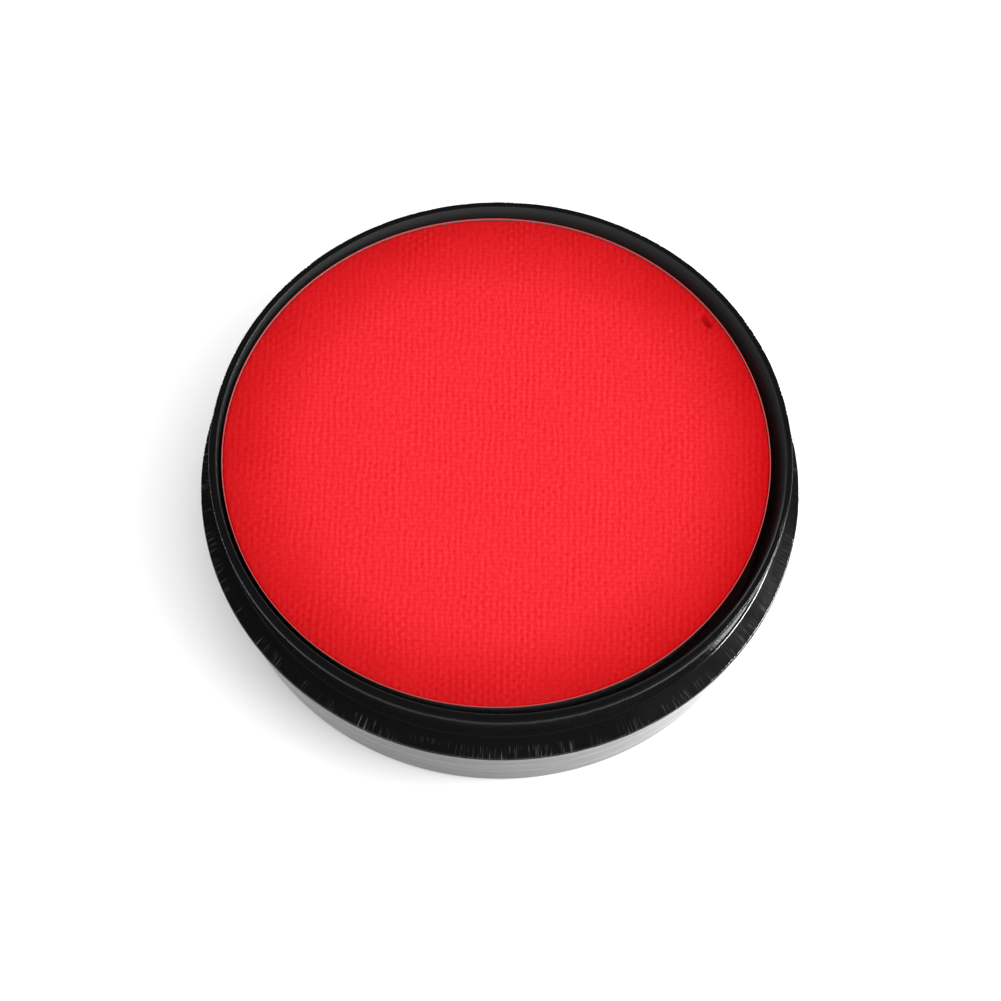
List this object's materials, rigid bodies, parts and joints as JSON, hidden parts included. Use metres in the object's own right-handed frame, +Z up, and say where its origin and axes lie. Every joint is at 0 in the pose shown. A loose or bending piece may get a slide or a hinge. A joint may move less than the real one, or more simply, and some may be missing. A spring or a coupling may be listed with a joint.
{
  "type": "face paint jar",
  "caption": "Open round black face-paint jar with a sloping ledge, a tapered glossy lower wall and a lift-out pan of red pressed paint.",
  "frame": {"origin": "centre of the circle that the jar stands on", "axes": "+Z up along the axis of the jar, -Y towards the person who looks at it from the front, +X to the right; the refill sits towards -X, and a little towards -Y, in its well"},
  "size_m": [0.075, 0.075, 0.0216],
  "materials": {
    "shell_plastic": "gloss",
    "cup_plastic": "satin",
    "pan_metal": "satin",
    "red_paint": "matte"
  },
  "bodies": {
    "jar": {"outer_shell": "shell_plastic", "inner_cup": "cup_plastic"},
    "refill": {"paint_pan": "pan_metal", "paint_cake": "red_paint"}
  },
  "joints": [
    {"name": "refill_lift", "type": "slide", "parent": "jar", "child": "refill", "axis": [0, 0, 1], "range_m": [0, 0.03]}
  ]
}
